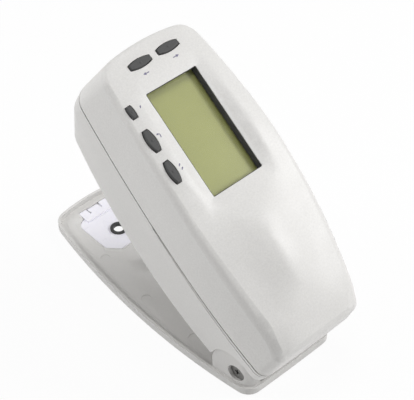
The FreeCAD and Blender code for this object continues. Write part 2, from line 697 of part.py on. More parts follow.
# ---------------------------------------------------------------- lower housing
def ear_room():
    """Space in the housing that the right ear needs: round about the pin, so it stays tight
    while the instrument swings. Behind the pin only the lug is left, inside the ear's wrap."""
    beside = ear_side(EAR_GAP, LUG_OUTER, 60)
    inside = Part.Face(ring(grown(SHOE, -EAR_INSET - EAR_WALL), 0))
    behind_pin = Part.makeLine(V(LUG_OUTER, HINGE_Y, 0), V(LUG_OUTER, -120, 0))
    room = behind_pin.common(inside).Length
    wrap = ear_side(EAR_GAP, LUG_INNER, LUG_OUTER + 1).cut(cross_rod(0, 60, HINGE_Y, HINGE_Z, room - EAR_GAP))
    sweep = HINGE_Y - room + (EAR_RADIUS + EAR_GAP) * math.sin(math.radians(OPEN_ANGLE))
    return beside.fuse(wrap.common(box(LUG_INNER, LUG_OUTER + 1, -120, sweep + EAR_GAP, -10, 60)))


def door_half():
    return CELL_LENGTH / 2 + 1.4


def door_reach():
    return CELL_PITCH * (CELL_COUNT - 1) / 2 + CELL_RADIUS + 1.4


def door_screw_y():
    return BATTERY_Y + door_reach() + DOOR_STEP + DOOR_TAB / 2


def door_tab(by, z0, z1):
    """Round tab at the door's nose end, grown by a distance for its seat."""
    tab = rod(0, door_screw_y(), z0, z1, DOOR_TAB + by)
    return tab.fuse(box(-DOOR_TAB - by, DOOR_TAB + by, door_screw_y() - DOOR_TAB, door_screw_y(), z0, z1))


def housing_tongue():
    """Lip of the lower half that laps inside the upper half and leans with its walls."""
    foot = housing_block(WALL + TONGUE_FIT).cut(housing_block(WALL + TONGUE_WALL))
    lip = cover_hollow(WALL + TONGUE_FIT).cut(cover_hollow(WALL + TONGUE_WALL))
    return foot.common(parting_slab(-TONGUE_ROOT, 0.1)).fuse(lip.common(parting_slab(0, TONGUE_HEIGHT)))


def make_lower_housing():
    block = housing_block()
    lining = box(LUG_INNER - WALL, 50, HINGE_Y - 12, HINGE_Y + EAR_RADIUS + 3, 0, HINGE_Z + EAR_RADIUS + 3)
    solids = [block.cut(housing_block(WALL)), lining.common(block), mirrored(lining).common(block)]
    for x, y in PILLARS:
        solids.append(rod(x, y, HOUSING_BOTTOM, parting_height(y), PILLAR_RADIUS).common(block))
    solids.append(rod(0, door_screw_y(), HOUSING_BOTTOM, HOUSING_BOTTOM + 8, DOOR_SCREW_RADIUS + 2))
    shell = joined(solids).cut(parting_slab(-PARTING_GAP / 2, 60)).fuse(housing_tongue())
    # the tail rolls about the pin, clear of the shoe's floor
    corner = box(-60, 60, -120, HINGE_Y, -20, HINGE_Z)
    shell = shell.cut(corner.cut(cross_rod(-60, 60, HINGE_Y, HINGE_Z, TAIL_ROLL)))
    shell = shell.cut(ear_room()).cut(mirrored(ear_room()))
    lug = cross_rod(LUG_INNER - WALL, LUG_OUTER, HINGE_Y, HINGE_Z, PIN_RADIUS + BUSH_WALL + LUG_WALL)
    shell = joined([shell, lug, mirrored(lug)])
    openings = [cross_rod(-60, 60, HINGE_Y, HINGE_Z, PIN_RADIUS + BUSH_WALL),
                rod(0, TARGET_Y, 0, 12, 10.5),
                box(-door_half(), door_half(), BATTERY_Y - door_reach(), BATTERY_Y + door_reach(), 0, 12),
                box(-door_half() - DOOR_STEP, door_half() + DOOR_STEP, BATTERY_Y - door_reach() - DOOR_STEP,
                    BATTERY_Y + door_reach() + DOOR_STEP, 0, HOUSING_BOTTOM + WALL / 2),
                door_tab(0, 0, HOUSING_BOTTOM + WALL / 2),
                rod(0, door_screw_y(), 0, 14, DOOR_SCREW_RADIUS + 0.05),
                latch_bar(0.7, 0, 12), spring_slot(), mirrored(spring_slot()), reveal_groove(),
                charger_hole(), data_hole()]
    for x, y in PILLARS:
        openings.append(rod(x, y, 0, HOUSING_KNEE, CASE_SCREW_HEAD + 0.3))
        openings.append(rod(x, y, 0, 60, CASE_SCREW_RADIUS + 0.25))
    for opening in openings:
        shell = shell.cut(opening)
    return shell


def reveal_groove():
    """Fine line under the parting, sinking to the tail."""
    rise = math.tan(math.radians(PARTING_SLOPE + REVEAL_SLOPE))
    start = parting_height(REVEAL_Y) - PARTING_GAP / 2
    ys = (REVEAL_Y, -120.0)
    low = [(y, start + rise * (y - REVEAL_Y) - REVEAL_WIDTH) for y in ys]
    high = [(y, start + rise * (y - REVEAL_Y)) for y in reversed(ys)]
    return side_prism(low + high, -60, 60).cut(housing_block(REVEAL_DEPTH))


def spring_length():
    return SPRING_TURNS * (2 * SPRING_WIRE + 0.3)


def spring_slot():
    x0, x1 = SPRING_X - SPRING_WIRE - SPRING_ROOM, SPRING_X + spring_length() + SPRING_WIRE + SPRING_ROOM
    y0 = HINGE_Y - SPRING_COIL - SPRING_WIRE - SPRING_ROOM
    return box(x0, x1, y0, HINGE_Y + 24, -5, HOUSING_BOTTOM + WALL + 1)


# ---------------------------------------------------------------- top cover
def make_top_cover():
    shell = cover_block().cut(cover_hollow())
    shell = shell.cut(parting_slab(-60, PARTING_GAP / 2))
    bosses = []
    for x, y in PILLARS:
        bosses.append(rod(x, y, parting_height(y) + PARTING_GAP, 100, BOSS_RADIUS))
    inside = cover_hollow(WALL - 0.3)
    shell = shell.fuse(joined(bosses).common(inside))
    rib = box(-30, 30, -61.0, -59.8, 60, 100).common(inside)
    shell = shell.fuse(rib)
    holes = [display_opening()] + [key_hole(k) for k in KEYS]
    for x, y in PILLARS:
        holes.append(rod(x, y, 0, HOUSING_KNEE + 2 + CASE_SCREW_LENGTH + 2, CASE_SCREW_RADIUS + 0.05))
    return shell.cut(joined(holes))


# ---------------------------------------------------------------- hinge pieces
def make_hinge_bushes():
    outer = cross_rod(LUG_INNER - WALL, LUG_OUTER, HINGE_Y, HINGE_Z, PIN_RADIUS + BUSH_WALL)
    return both_sides(outer.cut(cross_rod(0, 50, HINGE_Y, HINGE_Z, PIN_RADIUS + PIN_FIT)))


def make_hinge_springs():
    """Torsion springs of flat wire, a foot on the shoe's floor and an arm under the housing's."""
    length = spring_length()
    x0 = SPRING_X
    side = 2 * SPRING_WIRE
    low = V(SPRING_COIL - SPRING_WIRE, 0, -SPRING_WIRE)
    corners = [low, low + V(side, 0, 0), low + V(side, 0, side), low + V(0, 0, side)]
    section = Part.makePolygon(corners + [low])
    helix = Part.Wire(Part.makeHelix(length / SPRING_TURNS, length, SPRING_COIL).Edges)
    coil = helix.makePipeShell([section], True, True)
    coil.rotate(V(0, 0, 0), V(0, 1, 0), 90)
    coil.translate(V(x0, HINGE_Y, HINGE_Z))
    foot = Part.makeCylinder(SPRING_WIRE, 20, V(x0, HINGE_Y, HINGE_Z - SPRING_COIL), V(0, 20, -4.6))
    arm = Part.makeCylinder(SPRING_WIRE, 15, V(x0 + length, HINGE_Y, HINGE_Z + SPRING_COIL), V(0, 15, 6))
    return both_sides(Part.makeCompound([coil, foot, arm]))


# ---------------------------------------------------------------- insides
def make_key_board():
    top = key_board_top()
    ell = joined([box(-35, -21.2, 6, 90, top - BOARD, top), box(-35, 27, 74.5, 90, top - BOARD, top)])
    ell = ell.common(cover_hollow(WALL + 1.2))
    for x, y in PILLARS:
        ell = ell.cut(rod(x, y, 60, 100, BOSS_RADIUS + 0.6))
    return ell.removeSplitter()


def make_key_domes():
    return Part.makeCompound([key_dome(k) for k in KEYS])


def make_main_board():
    board = box(-24, 24, -22, 64, MAIN_BOARD_TOP - 1.6, MAIN_BOARD_TOP)
    for x in (-21, 21):
        for y in (-19, 61):
            board = board.cut(rod(x, y, MAIN_BOARD_TOP - 5, MAIN_BOARD_TOP + 5, 1.6))
    return on_display(board)


def make_board_chips():
    z = MAIN_BOARD_TOP - 1.6
    chips = [(-15, -8, 14, 14, 2.4), (4, -10, 10, 16, 2.0), (-16, 14, 8, 12, 1.8), (8, 16, 12, 8, 1.8),
             (-12, 36, 18, 9, 2.6), (12, 38, 7, 10, 4.0), (14, 2, 6, 6, 3.0)]
    solids = [box(x - w / 2, x + w / 2, y - d / 2, y + d / 2, z - h, z) for x, y, w, d, h in chips]
    return on_display(Part.makeCompound(solids))


def make_optics_block():
    block = rounded_plate(-17.5, 17.5, 27, 76, OPTICS_FLOOR, OPTICS_TOP, 3.0)
    hollow = rounded_plate(-15, 15, 30, 45, OPTICS_FLOOR - 1, OPTICS_TOP - 2.5, 1.5)
    block = block.cut(hollow)
    block = block.cut(rod(0, TARGET_Y, OPTICS_FLOOR - 1, OPTICS_TOP + 1, 4.2))
    block = block.cut(rod(0, TARGET_Y, OPTICS_FLOOR - 1, OPTICS_FLOOR + 4, SNOUT_RADIUS + 0.1))
    block = block.cut(rod(0, TARGET_Y, OPTICS_TOP - 6, OPTICS_TOP + 1, LENS_RADIUS + 1.4))
    for side in (1, -1):
        axis = V(side, 0, 1).normalize()
        start = V(side * 3.5, TARGET_Y, OPTICS_FLOOR + 3.5)
        block = block.cut(Part.makeCylinder(2.4, 40, start, axis))
    posts = [rod(x, y, OPTICS_TOP, BRIDGE_Z, 2.2) for x, y in BRIDGE_POSTS]
    return joined([block] + posts)


def make_lens_barrel():
    barrel = rod(0, TARGET_Y, OPTICS_TOP - 5.9, OPTICS_TOP - 0.4, LENS_RADIUS + 1.3)
    return barrel.cut(rod(0, TARGET_Y, 0, 60, LENS_RADIUS + 0.1))


def make_objective_lens():
    z = OPTICS_TOP - 3.0
    rise = LENS_BALL - LENS_THICK / 2
    lower = Part.makeSphere(LENS_BALL, V(0, TARGET_Y, z + rise))
    upper = Part.makeSphere(LENS_BALL, V(0, TARGET_Y, z - rise))
    return lower.common(upper).common(rod(0, TARGET_Y, z - 5, z + 5, LENS_RADIUS))


def make_lamps():
    lamps = []
    for side in (1, -1):
        axis = V(side, 0, 1).normalize()
        at = V(side * 3.5, TARGET_Y, OPTICS_FLOOR + 3.5) + axis * 9
        bulb = Part.makeCylinder(1.7, 6, at, axis).fuse(Part.makeSphere(1.7, at))
        base = Part.makeCylinder(2.3, 2.5, at + axis * 6, axis)
        lamps.append(bulb.fuse(base))
    return Part.makeCompound(lamps)


def make_aperture_snout():
    tip = SHOE_LIFT + WINDOW_THICK + 0.9 + 0.4
    flange = rod(0, TARGET_Y, OPTICS_FLOOR - 0.3, OPTICS_FLOOR + 3.4, SNOUT_RADIUS)
    cone = Part.makeCone(6.0, 9.0, OPTICS_FLOOR - 0.2 - tip, V(0, TARGET_Y, tip))
    bore = Part.makeCone(2.0, 6.0, OPTICS_FLOOR + 3.5 - tip + 0.1, V(0, TARGET_Y, tip - 0.01))
    return cone.fuse(flange).cut(bore)


def make_filter_wheel():
    disc = rod(0, WHEEL_Y, WHEEL_Z, WHEEL_Z + WHEEL_THICK, WHEEL_RADIUS)
    hub = rod(0, WHEEL_Y, WHEEL_Z - 2.0, WHEEL_Z + WHEEL_THICK + 0.8, 4.0)
    shaft = rod(0, WHEEL_Y, WHEEL_Z - 6.0, BRIDGE_Z + 6, SHAFT_RADIUS)
    wheel = joined([disc, hub, shaft])
    reach = TARGET_Y - WHEEL_Y
    for i in range(FILTER_COUNT):
        a = 2 * math.pi * i / FILTER_COUNT
        wheel = wheel.cut(rod(reach * math.sin(a), WHEEL_Y + reach * math.cos(a), WHEEL_Z - 1, WHEEL_Z + 4,
                              FILTER_RADIUS + 0.05))
    index = box(-1.2, 1.2, WHEEL_Y - WHEEL_RADIUS - 1, WHEEL_Y - WHEEL_RADIUS + 1.4, WHEEL_Z - 1, WHEEL_Z + 4)
    return wheel.cut(index)


def make_wheel_filters():
    reach = TARGET_Y - WHEEL_Y
    discs = []
    for i in range(FILTER_COUNT):
        a = 2 * math.pi * i / FILTER_COUNT
        discs.append(rod(reach * math.sin(a), WHEEL_Y + reach * math.cos(a), WHEEL_Z, WHEEL_Z + WHEEL_THICK,
                         FILTER_RADIUS))
    return Part.makeCompound(discs)


def make_motor_bridge():
    bridge = rounded_plate(-18, 18, 26.5, 76, BRIDGE_Z, BRIDGE_Z + 2.0, 3.0)
    bridge = bridge.cut(rod(0, WHEEL_Y, BRIDGE_Z - 1, BRIDGE_Z + 4, 4.3))
    return bridge.cut(rod(0, TARGET_Y, BRIDGE_Z - 1, BRIDGE_Z + 4, 3.0))


def make_wheel_motor():
    z = BRIDGE_Z + 2.1
    can = rod(0, WHEEL_Y, z, z + 13.5, 9.5)
    neck = rod(0, WHEEL_Y, BRIDGE_Z + 0.2, z + 0.1, 4.1)
    return can.fuse(neck).cut(rod(0, WHEEL_Y, BRIDGE_Z - 1, BRIDGE_Z + 6.5, SHAFT_RADIUS + SHAFT_FIT))


def make_photodiode():
    z = BRIDGE_Z + 2.1
    return rod(0, TARGET_Y, z, z + DIODE_HEIGHT, 3.3)


def make_detector_board():
    z = BRIDGE_Z + 2.1 + DIODE_HEIGHT + 0.1
    return box(-10, 10, 55.6, 75, z, z + 1.4)


def make_battery_cells():
    z = HOUSING_BOTTOM + WALL + 0.5 + CELL_RADIUS
    cells = []
    for i in range(CELL_COUNT):
        y = BATTERY_Y + (i - (CELL_COUNT - 1) / 2) * CELL_PITCH
        side = 1 if i % 2 else -1
        cell = cross_rod(-CELL_LENGTH / 2, CELL_LENGTH / 2, y, z, CELL_RADIUS)
        tip = CELL_LENGTH / 2 * side
        x0, x1 = sorted((tip - 0.1 * side, tip + 1.0 * side))
        cells.append(cell.fuse(cross_rod(x0, x1, y, z, 2.6)))
    return Part.makeCompound(cells)


def make_battery_contacts():
    z = HOUSING_BOTTOM + WALL + 0.6
    x = CELL_LENGTH / 2 + 1.15
    y = door_reach() - 1.6
    return both_sides(box(x, x + 0.5, BATTERY_Y - y, BATTERY_Y + y, z + 2, z + 12))


def make_battery_door():
    z = HOUSING_BOTTOM
    x, y = door_half(), door_reach()
    outer = box(-x - DOOR_STEP + DOOR_GAP, x + DOOR_STEP - DOOR_GAP, BATTERY_Y - y - DOOR_STEP + DOOR_GAP,
                BATTERY_Y + y + DOOR_STEP - DOOR_GAP, z, z + WALL / 2 - 0.05)
    x, y = x - DOOR_GAP, y - DOOR_GAP
    plug = box(-x, x, BATTERY_Y - y, BATTERY_Y + y, z + 0.5, z + WALL)
    grip_ys = [BATTERY_Y + 12 + 2.4 * i for i in range(4)]
    grip = joined([box(-10, 10, groove, groove + 1, z - 1, z + 0.4) for groove in grip_ys])
    tab = door_tab(-DOOR_GAP, z, z + WALL / 2 - 0.05)
    sink = Part.makeCone(DOOR_SCREW_HEAD + 0.2, DOOR_SCREW_RADIUS + 0.2, 1.5, V(0, door_screw_y(), z - 0.01))
    return joined([outer, plug, tab]).cut(grip).cut(sink).removeSplitter()


def make_door_screw():
    z = HOUSING_BOTTOM + 0.1
    head = Part.makeCone(DOOR_SCREW_HEAD, DOOR_SCREW_RADIUS, WALL / 2 - 0.15, V(0, door_screw_y(), z))
    screw = head.fuse(rod(0, door_screw_y(), z, z + 7, DOOR_SCREW_RADIUS))
    return screw.cut(box(-3, 3, door_screw_y() - 0.4, door_screw_y() + 0.4, z - 1, z + 0.6))


def make_case_screws():
    screws = []
    for x, y in PILLARS:
        head = rod(x, y, HOUSING_KNEE - 2.2, HOUSING_KNEE - 0.1, CASE_SCREW_HEAD)
        shank = rod(x, y, HOUSING_KNEE - 0.2, HOUSING_KNEE + CASE_SCREW_LENGTH, CASE_SCREW_RADIUS)
        screws.append(head.fuse(shank).cut(rod(x, y, HOUSING_KNEE - 3, HOUSING_KNEE - 1.1, 1.2)))
    return Part.makeCompound(screws)


def side_face_x(y):
    """Outer face of the housing near the jacks, which stand a little below the knee."""
    share = (JACK_Z - HOUSING_BOTTOM) / (HOUSING_KNEE - HOUSING_BOTTOM)
    return half_width(y, BOTTOM) * (1 - share) + half_width(y, KNEE) * share


def charger_hole():
    return cross_rod(side_face_x(CHARGER_Y) - 6, 60, CHARGER_Y, JACK_Z, CHARGER_RADIUS + JACK_FIT)


def data_hole():
    y, z = DATA_HALF + JACK_FIT, DATA_HALF_HEIGHT + JACK_FIT
    return box(side_face_x(DATA_Y) - 6, 60, DATA_Y - y, DATA_Y + y, JACK_Z - z, JACK_Z + z)


def make_charger_jack():
    face = side_face_x(CHARGER_Y) - JACK_SUNK
    body = cross_rod(face - 12, face, CHARGER_Y, JACK_Z, CHARGER_RADIUS)
    bore = cross_rod(face - 9, face + 1, CHARGER_Y, JACK_Z, CHARGER_RADIUS - 1.3)
    pin = cross_rod(face - 11, face - 1.5, CHARGER_Y, JACK_Z, 0.9)
    return body.cut(bore).fuse(pin)


def make_data_jack():
    face = side_face_x(DATA_Y) - JACK_SUNK
    y, z = DATA_HALF, DATA_HALF_HEIGHT
    body = box(face - 15, face, DATA_Y - y, DATA_Y + y, JACK_Z - z, JACK_Z + z)
    y, z = y - 1.4, z - 1.2
    return body.cut(box(face - 11, face + 1, DATA_Y - y, DATA_Y + y, JACK_Z - z, JACK_Z + z))


# ---------------------------------------------------------------- assembly
SHOE_NODES = {
    "shoe_base": lambda: cut_pad_seats(make_shoe_base()),
    "target_window": make_target_window,
    "target_ring": make_target_ring,
    "shoe_pads": make_shoe_pads,
    "open_stop": make_open_stop,
    "hinge_screws": make_hinge_screws,
    "hinge_springs": make_hinge_springs,
    "shoe_latch": make_shoe_latch,
}

INSTRUMENT_NODES = {
    "lower_housing": make_lower_housing,
    "top_cover": make_top_cover,
    "display_bezel": make_display_bezel,
    "display_window": make_display_window,
    "lcd_glass": make_lcd_glass,
    "lcd_frame": make_lcd_frame,
    "key_board": make_key_board,
    "key_domes": make_key_domes,
    "main_board": make_main_board,
    "board_chips": make_board_chips,
    "hinge_bushes": make_hinge_bushes,
    "optics_block": make_optics_block,
    "lens_barrel": make_lens_barrel,
    "objective_lens": make_objective_lens,
    "lamps": make_lamps,
    "aperture_snout": make_aperture_snout,
    "filter_wheel": make_filter_wheel,
    "wheel_filters": make_wheel_filters,
    "motor_bridge": make_motor_bridge,
    "wheel_motor": make_wheel_motor,
    "detector_board": make_detector_board,
    "photodiode": make_photodiode,
    "battery_cells": make_battery_cells,
    "battery_contacts": make_battery_contacts,
    "battery_door": make_battery_door,
    "door_screw": make_door_screw,
    "case_screws": make_case_screws,
    "charger_jack": make_charger_jack,
    "data_jack": make_data_jack,
}


def write(name, shape):
    shape.exportStep("parts/" + name + ".step")
    print(name, "solids", len(shape.Solids), "valid", shape.isValid(), "volume", round(shape.Volume, 1))


for name, maker in SHOE_NODES.items():
    write(name, maker())
for name, maker in INSTRUMENT_NODES.items():
    write(name, swung(maker(), OPEN_ANGLE))
for key in KEYS:
    write(key[0], swung(key_cap(key), OPEN_ANGLE))
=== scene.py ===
# %% [markdown]
# # A hand-held densitometer, standing open on its shoe
# The instrument reads how dark a patch of a print is. It hangs over a flat shoe on a sprung hinge: you
# lay the shoe on the print with the hole of its window over the patch, press the instrument down, and
# read the figure off the display. This lesson dresses the finished solids: they come in as a fixed
# frame, and each one gets a finish worked out from what it is made of. Small things that a solid
# modeller has no need of, such as the printed signs beside the keys, are modelled here.

# %% Load the frame
import json
import math

import bmesh
import bpy
from mathutils import Matrix, Vector


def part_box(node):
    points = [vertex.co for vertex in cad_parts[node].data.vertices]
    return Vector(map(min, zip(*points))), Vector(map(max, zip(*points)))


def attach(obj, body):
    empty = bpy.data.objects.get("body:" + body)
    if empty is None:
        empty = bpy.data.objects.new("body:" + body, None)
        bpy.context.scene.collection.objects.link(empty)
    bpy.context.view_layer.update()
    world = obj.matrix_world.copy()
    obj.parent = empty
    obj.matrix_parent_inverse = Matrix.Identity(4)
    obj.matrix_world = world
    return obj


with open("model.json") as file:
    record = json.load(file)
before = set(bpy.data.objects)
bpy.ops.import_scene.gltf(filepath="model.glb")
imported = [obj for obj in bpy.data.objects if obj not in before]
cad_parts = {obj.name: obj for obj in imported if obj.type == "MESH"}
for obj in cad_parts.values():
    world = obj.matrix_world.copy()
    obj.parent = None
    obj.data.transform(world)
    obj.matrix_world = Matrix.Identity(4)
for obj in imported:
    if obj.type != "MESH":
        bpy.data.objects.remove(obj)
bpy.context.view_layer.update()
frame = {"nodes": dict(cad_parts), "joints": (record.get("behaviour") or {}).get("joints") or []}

MM = 0.001
nodes = frame["nodes"]
print("solids in the frame:", len(nodes))

# %% [markdown]
# ## The camera
# A long lens from about a metre away flattens the perspective, which is how a catalogue shows a small
# tool. The camera looks down on the left flank and the nose end, and is rolled by a little over a
# degree. It could be aimed with a Track To constraint. Its axes are written out instead, because
# a roll is then one more rotation and nothing depends on another object.

# %% Camera
LOOK_FROM_DEG = -41.54
LOOK_DOWN_DEG = 43.94
ROLL_DEG = -1.31
DISTANCE = 904.7 * MM
AIM = Vector((34.2, 14.09, 35.0)) * MM
LENS_MM = 130.6
SENSOR_MM = 36.0
NEAREST = 0.05
FARTHEST = 20.0


def camera_axes(around_deg, down_deg, roll_deg):
    """Right, up and back of a camera that looks along the given angles."""
    around = math.radians(around_deg)
    down = math.radians(down_deg)
    roll = math.radians(roll_deg)
    back = Vector((math.sin(around) * math.cos(down), -math.cos(around) * math.cos(down), math.sin(down)))
    right = Vector((math.cos(around), math.sin(around), 0.0))
    up = back.cross(right)
    return right * math.cos(roll) + up * math.sin(roll), up * math.cos(roll) - right * math.sin(roll), back


right, up, back = camera_axes(LOOK_FROM_DEG, LOOK_DOWN_DEG, ROLL_DEG)
turned = Matrix((right, up, back)).transposed().to_4x4()
camera = bpy.data.objects.new("camera", bpy.data.cameras.new("camera"))
bpy.context.scene.collection.objects.link(camera)
camera.matrix_world = Matrix.Translation(AIM + back * DISTANCE) @ turned
camera.data.lens = LENS_MM
camera.data.sensor_width = SENSOR_MM
camera.data.clip_start = NEAREST
camera.data.clip_end = FARTHEST
bpy.context.scene.camera = camera
bpy.context.scene.view_settings.view_transform = "Standard"
print("camera at", tuple(round(v, 3) for v in camera.matrix_world.translation))

# %% [markdown]
# ## Writing shader sums as sums
# A noise that is scaled, shifted and clipped takes several Math nodes, and wiring them one at a time
# hides what is meant. A small class wraps a socket and lets Python's own signs add the nodes, so
# that 0.4 + 0.1 * grain is a line of shader.


# %% A socket that can be added and multiplied
class Wire:
    """An output socket. Sums with numbers or other wires add Math nodes."""

    def __init__(self, finish, socket):
        self.finish = finish
        self.socket = socket

    def math(self, operation, *values, clamp=False):
        settings = {"operation": operation, "use_clamp": clamp}
        return self.finish.add("Math", settings, dict(enumerate(values)))

    def __add__(self, other):
        return self.math("ADD", self, other)

    def __radd__(self, other):
        return self.math("ADD", other, self)

    def __sub__(self, other):
        return self.math("SUBTRACT", self, other)

    def __rsub__(self, other):
        return self.math("SUBTRACT", other, self)

    def __mul__(self, other):
        return self.math("MULTIPLY", self, other)

    def __rmul__(self, other):
        return self.math("MULTIPLY", other, self)

    def clipped(self):
        """The same value, held between 0 and 1."""
        return self.math("ADD", self, 0.0, clamp=True)


print("a wire adds, subtracts, multiplies and clips")

# %% [markdown]
# ## A finish while it is made
# A finish is a tree of nodes. It could be wired by hand in the shader editor, but then nothing here
# would say why a node is there. One class adds any node, its settings first, because they decide
# which sockets it has. Colours go through Mix nodes, as a Math node would turn them grey. The world
# is a tree of nodes too, so the same class makes it.

# %% A finish and its nodes
MIX_FACTOR, MIX_FIRST, MIX_SECOND, MIX_RESULT = 0, 6, 7, 2
SEEING_RAYS = ("Is Camera Ray", "Is Glossy Ray", "Is Transmission Ray")


class Finish:
    """The node tree of a material, or of the world, while it is made."""

    def __init__(self, name, library=None, output="OutputMaterial"):
        owners = bpy.data.materials if library is None else library
        self.owner = owners.new(name)
        self.owner.use_nodes = True
        self.tree = self.owner.node_tree
        self.tree.nodes.clear()
        self.output = self.tree.nodes.new("ShaderNode" + output)

    def add(self, kind, settings=None, values=None, out=0):
        """A node of that kind, with its settings and with values or wires in its sockets."""
        made = self.tree.nodes.new("ShaderNode" + kind)
        for name, value in (settings or {}).items():
            setattr(made, name, value)
        for name, value in (values or {}).items():
            socket = made.inputs[name]
            if isinstance(value, Wire):
                self.tree.links.new(value.socket, socket)
            elif socket.type == "RGBA" and len(value) == 3:
                socket.default_value = (*value, 1.0)
            else:
                socket.default_value = value
        return Wire(self, made.outputs[out])

    def place(self):
        """Where a point of the piece is, in metres, in the piece's own frame."""
        return self.add("TexCoord", out="Object")

    def noise(self, size, detail=2.0, roughness=0.5, place=None):
        """Soft noise whose blots are about size metres across."""
        where = place or self.place()
        values = {"Vector": where, "Scale": 1.0 / size, "Detail": detail, "Roughness": roughness}
        return self.add("TexNoise", None, values)

    def mix(self, factor, first, second):
        """From the first colour to the second. A Mix node's colour sockets are picked by number."""
        values = {MIX_FACTOR: factor, MIX_FIRST: first, MIX_SECOND: second}
        return self.add("Mix", {"data_type": "RGBA"}, values, out=MIX_RESULT)

    def bump(self, height, depth, strength=1.0):
        """Height runs from 0 to 1 and stands for depth metres."""
        values = {"Height": height, "Distance": depth, "Strength": strength}
        return self.add("Bump", None, values, out="Normal")

    def seen(self):
        """1 where the camera looks, straight on or by a mirror or a clear piece, and 0 for other light."""
        camera_ray, glossy_ray, clear_ray = (self.add("LightPath", out=ray) for ray in SEEING_RAYS)
        return (camera_ray + glossy_ray + clear_ray).clipped()

    def show(self, shader):
        """Sends a shader to the output, and hands back the finished material or world."""
        self.tree.links.new(shader.socket, self.output.inputs["Surface"])
        return self.owner

    def surface(self, **inputs):
        """The surface itself. Names are the Principled sockets, with _ for a space."""
        values = {name.replace("_", " "): value for name, value in inputs.items()}
        return self.show(self.add("BsdfPrincipled", None, values))


print("rays that see the white paper:", len(SEEING_RAYS))

# %% [markdown]
# ## Greys as they are seen
# The case is judged on a scale of 0 to 255, but a shader counts light. The greys could be
# looked up one by one. One function turns them into light instead, and takes a little blue out of
# them, and about a third as much green, because old pale plastic is warm.

# %% Greys
GREEN_SHARE = 0.35


def shade(level, warm=0.0):
    """A grey as it is seen, 0 to 255, made linear; warm takes blue out of it."""
    def linear(value):
        value = min(max(value / 255.0, 0.0), 1.0)
        return value / 12.92 if value <= 0.04045 else ((value + 0.055) / 1.055) ** 2.4
    return (linear(level), linear(level - GREEN_SHARE * warm), linear(level - warm))


print("a mid grey is", tuple(round(v, 3) for v in shade(128)))

# %% [markdown]
# ## The moulded case
# The cover and the housing are moulded in a pale grey plastic and sprayed with a satin paint, and
# the shoe is left bare. The moulds are spark-eroded, so the faces have grains under half a millimetre
# across, too shallow to see one by one: they soften the highlights. One flat colour would look like
# a toy. Here the grain is a bump, the paint has flecks about a millimetre across and slow clouds, and
# handling has polished it in places, which changes only the roughness.

# %% Painted and bare mouldings
GRAIN = 0.42 * MM
FLECK = 1.1 * MM
CLOUD = 26.0 * MM
SMUDGE = 9.0 * MM
FLECK_WEIGHT = 3.0
MOULDED_REACH = 40
PALE_WARMTH = 0.6


def moulded(name, level, warm, gloss, grain_depth, cloud=0.05, speckle=0.03):
    """A moulded plastic: level is its grey, gloss its mean roughness."""
    f = Finish(name)
    clouds = f.noise(CLOUD, 3.0)
    grain = f.noise(GRAIN, 1.5, 0.6)
    flecks = f.noise(FLECK, 2.0, 0.7)
    smudges = f.noise(SMUDGE, 4.0, 0.6)
    tone = (clouds - 0.5) * cloud + (grain - 0.5) * speckle + (flecks - 0.5) * speckle * FLECK_WEIGHT + 0.5
    dark = shade(level - MOULDED_REACH, warm)
    pale = shade(level + MOULDED_REACH, warm * PALE_WARMTH)
    return f.surface(
        Base_Color=f.mix(tone.clipped(), dark, pale),
        Roughness=(smudges - 0.5) * 0.16 + gloss,
        Specular_IOR_Level=0.5,
        Normal=f.bump(grain, grain_depth, 0.6),
    )


finishes = {
    "cover_moulding": moulded("satin painted cover", 213, 5, 0.44, 0.05 * MM, speckle=0.09),
    "housing_moulding": moulded("satin painted housing", 211, 5, 0.46, 0.05 * MM, speckle=0.06),
    "shoe_moulding": moulded("bare grey shoe moulding", 208, 5, 0.5, 0.04 * MM),
    "latch_plastic": moulded("latch moulding", 120, 2, 0.45, 0.03 * MM),
    "bezel_black": moulded("black display frame", 26, 0, 0.5, 0.03 * MM),
    "inner_black": moulded("matt black inside", 18, 0, 0.7, 0.03 * MM),
    "black_ring": moulded("black window ring", 24, 0, 0.4, 0.02 * MM),
    "optics_black": moulded("black optics moulding", 30, 0, 0.55, 0.03 * MM),
    "wheel_black": moulded("black filter wheel", 24, 0, 0.5, 0.02 * MM),
    "chip_black": moulded("chip package", 34, 0, 0.5, 0.01 * MM),
    "jack_black": moulded("jack body", 30, 0, 0.45, 0.02 * MM),
    "bush_nylon": moulded("nylon bush", 225, 14, 0.4, 0.01 * MM),
    "cell_wrap": moulded("cell wrap", 60, -60, 0.35, 0.01 * MM),
}
print("mouldings:", len(finishes))

# %% [markdown]
# ## Rubber keys and feet
# Each key is a cap of dark silicone rubber that stands up through its own hole, and the feet are
# rubber too. Both could be plain black. Rubber is never quite black, though, and its dry surface
# scatters light, so it gets a high roughness, a little sheen, and a coarser grain than the case.

# %% Rubber
DUST = 3.0 * MM
RUBBER_REACH = 26


def rubber(name, level, rough, grain_size, grain_depth):
    """A rubber: level is its grey, rough its mean roughness."""
    f = Finish(name)
    grain = f.noise(grain_size, 2.0, 0.7)
    dust = f.noise(DUST, 4.0, 0.65)
    tone = (grain - 0.5) * 0.55 + (dust - 0.5) * 0.25 + 0.5
    return f.surface(
        Base_Color=f.mix(tone.clipped(), shade(level - RUBBER_REACH), shade(level + RUBBER_REACH)),
        Roughness=(dust - 0.5) * 0.2 + rough,
        Sheen_Weight=0.15,
        Sheen_Roughness=0.5,
        Normal=f.bump(grain, grain_depth, 0.8),
    )


finishes["key_rubber"] = rubber("silicone keys", 52, 0.6, 0.5 * MM, 0.06 * MM)
finishes["pad_rubber"] = rubber("rubber feet", 52, 0.8, 0.6 * MM, 0.08 * MM)
print("finishes with rubber:", len(finishes))

